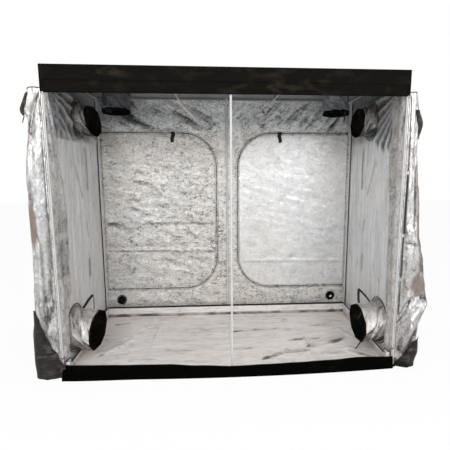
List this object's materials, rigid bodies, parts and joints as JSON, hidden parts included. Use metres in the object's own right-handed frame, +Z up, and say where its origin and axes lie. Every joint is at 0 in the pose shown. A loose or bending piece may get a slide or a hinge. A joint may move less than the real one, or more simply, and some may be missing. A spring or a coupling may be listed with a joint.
{
  "type": "indoor grow tent",
  "caption": "Free-standing grow tent: a white pole frame in a sewn canopy, black outside and silver inside, with gathered front doors, D-shaped back doors, duct sleeves and a floor tray.",
  "frame": {"origin": "underside of the floor cloth, below the middle of the pole frame", "axes": "+Z up, the open front faces -Y, +X to the right as seen from the front"},
  "size_m": [2.857, 1.3013, 2.1333],
  "materials": {
    "white_steel": "white powder coat, satin",
    "silver_lining": "metallised film on oxford cloth, crinkled, semi-gloss",
    "black_canvas": "coated oxford cloth, matt with a slight sheen",
    "black_webbing": "woven webbing and cord, matt",
    "black_zip": "black zip slider, satin"
  },
  "bodies": {
    "frame_and_canopy": {"corner_post_front_left": "white_steel", "corner_post_front_right": "white_steel", "centre_post_front": "white_steel", "corner_post_back_left": "white_steel", "corner_post_back_right": "white_steel", "centre_post_back": "white_steel", "base_beam_front_left": "white_steel", "corner_connector_base_front_left": "white_steel", "base_beam_front_right": "white_steel", "corner_connector_base_front_right": "white_steel", "tee_connector_base_front": "white_steel", "base_beam_back_left": "white_steel", "corner_connector_base_back_left": "white_steel", "base_beam_back_right": "white_steel", "corner_connector_base_back_right": "white_steel", "tee_connector_base_back": "white_steel", "base_beam_side_left": "white_steel", "base_beam_side_right": "white_steel", "top_beam_front_left": "white_steel", "corner_connector_top_front_left": "white_steel", "top_beam_front_right": "white_steel", "corner_connector_top_front_right": "white_steel", "tee_connector_top_front": "white_steel", "top_beam_back_left": "white_steel", "corner_connector_top_back_left": "white_steel", "top_beam_back_right": "white_steel", "corner_connector_top_back_right": "white_steel", "tee_connector_top_back": "white_steel", "top_beam_side_left": "white_steel", "top_beam_side_right": "white_steel", "wall_left": "silver_lining", "wall_right": "silver_lining", "wall_back": "silver_lining", "roof_panel": "silver_lining", "floor_tray": "silver_lining", "duct_sleeve_lower_left": "silver_lining", "duct_sleeve_lower_right": "silver_lining", "duct_sleeve_upper_left": "silver_lining", "duct_sleeve_upper_right": "silver_lining", "duct_sleeve_roof_left": "silver_lining", "duct_sleeve_roof_right": "silver_lining", "floor_panel": "black_canvas", "front_header": "black_canvas", "front_sill": "black_canvas", "cable_port_left": "black_canvas", "cable_port_right": "black_canvas", "webbing_loop_left": "black_webbing", "webbing_loop_right": "black_webbing", "door_tie_left": "black_webbing", "door_tie_right": "black_webbing", "stay_cord_left": "black_webbing", "stay_cord_right": "black_webbing"},
    "roof_bar_left": {"roof_bar_left": "white_steel"},
    "roof_bar_right": {"roof_bar_right": "white_steel"},
    "back_door_left": {"back_door_left": "silver_lining"},
    "back_door_right": {"back_door_right": "silver_lining"},
    "front_door_left": {"front_door_left": "silver_lining"},
    "front_door_right": {"front_door_right": "silver_lining"},
    "zip_slider_left": {"zip_slider_left": "black_zip"},
    "zip_slider_right": {"zip_slider_right": "black_zip"}
  },
  "joints": [
    {"name": "back_door_left_swing", "type": "hinge", "parent": "frame_and_canopy", "child": "back_door_left", "pos_m": [-1.19, 0.61, 1.048], "axis": [0, 0, 1], "range_deg": [0, 165]},
    {"name": "back_door_right_swing", "type": "hinge", "parent": "frame_and_canopy", "child": "back_door_right", "pos_m": [1.19, 0.61, 1.048], "axis": [0, 0, -1], "range_deg": [0, 165]},
    {"name": "front_door_left_swing", "type": "hinge", "parent": "frame_and_canopy", "child": "front_door_left", "pos_m": [-1.21925, -0.6113, 1.01], "axis": [0, 0, 1], "range_deg": [0, 95]},
    {"name": "front_door_right_swing", "type": "hinge", "parent": "frame_and_canopy", "child": "front_door_right", "pos_m": [1.21925, -0.6113, 1.01], "axis": [0, 0, -1], "range_deg": [0, 95]},
    {"name": "roof_bar_left_slide", "type": "slide", "parent": "frame_and_canopy", "child": "roof_bar_left", "axis": [-1, 0, 0], "range_m": [-0.4, 0.29]},
    {"name": "roof_bar_right_slide", "type": "slide", "parent": "frame_and_canopy", "child": "roof_bar_right", "axis": [1, 0, 0], "range_m": [-0.4, 0.29]},
    {"name": "zip_slider_left_slide", "type": "slide", "parent": "frame_and_canopy", "child": "zip_slider_left", "axis": [0, 0, 1], "range_m": [-0.42, 0.42]},
    {"name": "zip_slider_right_slide", "type": "slide", "parent": "frame_and_canopy", "child": "zip_slider_right", "axis": [0, 0, 1], "range_m": [-0.42, 0.42]}
  ]
}
